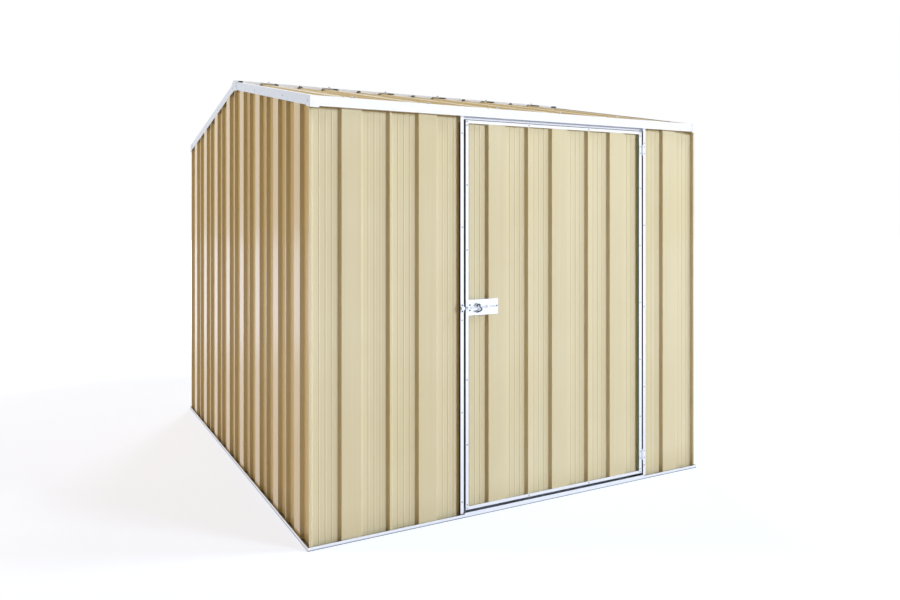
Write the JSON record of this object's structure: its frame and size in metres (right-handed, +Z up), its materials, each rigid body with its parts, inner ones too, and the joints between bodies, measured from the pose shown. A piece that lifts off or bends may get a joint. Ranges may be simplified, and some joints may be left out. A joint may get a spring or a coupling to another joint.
{
  "type": "metal tool shed",
  "caption": "Gable-roofed garden tool shed of ribbed painted steel sheet with zinc edge trims, a hinged front door and a slide bolt.",
  "frame": {"origin": "on the ground under the middle of the shed", "axes": "+Z up, +X to the right along the front wall, -Y out of the front wall with the door"},
  "size_m": [2.101, 2.82, 2.0944],
  "materials": {
    "cream_sheet": "satin",
    "zinc_trim": "satin",
    "bolt_steel": "satin"
  },
  "bodies": {
    "shed": {"back_fascia": "zinc_trim", "back_roof_sheet_1": "cream_sheet", "back_roof_sheet_2": "cream_sheet", "back_roof_sheet_3": "cream_sheet", "back_wall_sheet_1": "cream_sheet", "back_wall_sheet_2": "cream_sheet", "back_wall_sheet_3": "cream_sheet", "barge_covers": "zinc_trim", "base_channel_back": "zinc_trim", "base_channel_front": "zinc_trim", "base_channel_left": "zinc_trim", "base_channel_right": "zinc_trim", "corner_flashings": "cream_sheet", "door_head": "zinc_trim", "door_jambs": "zinc_trim", "eave_rails": "zinc_trim", "front_fascia": "zinc_trim", "front_roof_sheet_1": "cream_sheet", "front_roof_sheet_2": "cream_sheet", "front_roof_sheet_3": "cream_sheet", "front_wall_left_sheet": "cream_sheet", "front_wall_right_sheet": "cream_sheet", "gable_rails": "zinc_trim", "jamb_hinge_leaves": "zinc_trim", "latch_keeper": "zinc_trim", "left_barges": "zinc_trim", "left_wall_sheet_1": "cream_sheet", "left_wall_sheet_2": "cream_sheet", "left_wall_sheet_3": "cream_sheet", "left_wall_sheet_4": "cream_sheet", "ridge_beam": "zinc_trim", "ridge_cap": "zinc_trim", "right_barges": "zinc_trim", "right_wall_sheet_1": "cream_sheet", "right_wall_sheet_2": "cream_sheet", "right_wall_sheet_3": "cream_sheet", "right_wall_sheet_4": "cream_sheet"},
    "door": {"door_sheet": "cream_sheet", "door_latch_stile": "zinc_trim", "door_hinge_stile": "zinc_trim", "door_bottom_rail": "zinc_trim", "door_top_rail": "zinc_trim", "door_hinge_leaves": "zinc_trim", "latch_plate": "zinc_trim"},
    "bolt": {"slide_bolt": "bolt_steel"}
  },
  "joints": [
    {"name": "door_hinge", "type": "hinge", "parent": "shed", "child": "door", "pos_m": [0.683, -1.394, 0.9], "axis": [0, 0, 1], "range_deg": [0, 175]},
    {"name": "bolt_slide", "type": "slide", "parent": "door", "child": "bolt", "axis": [1, 0, 0], "range_m": [-0.028, 0]}
  ]
}
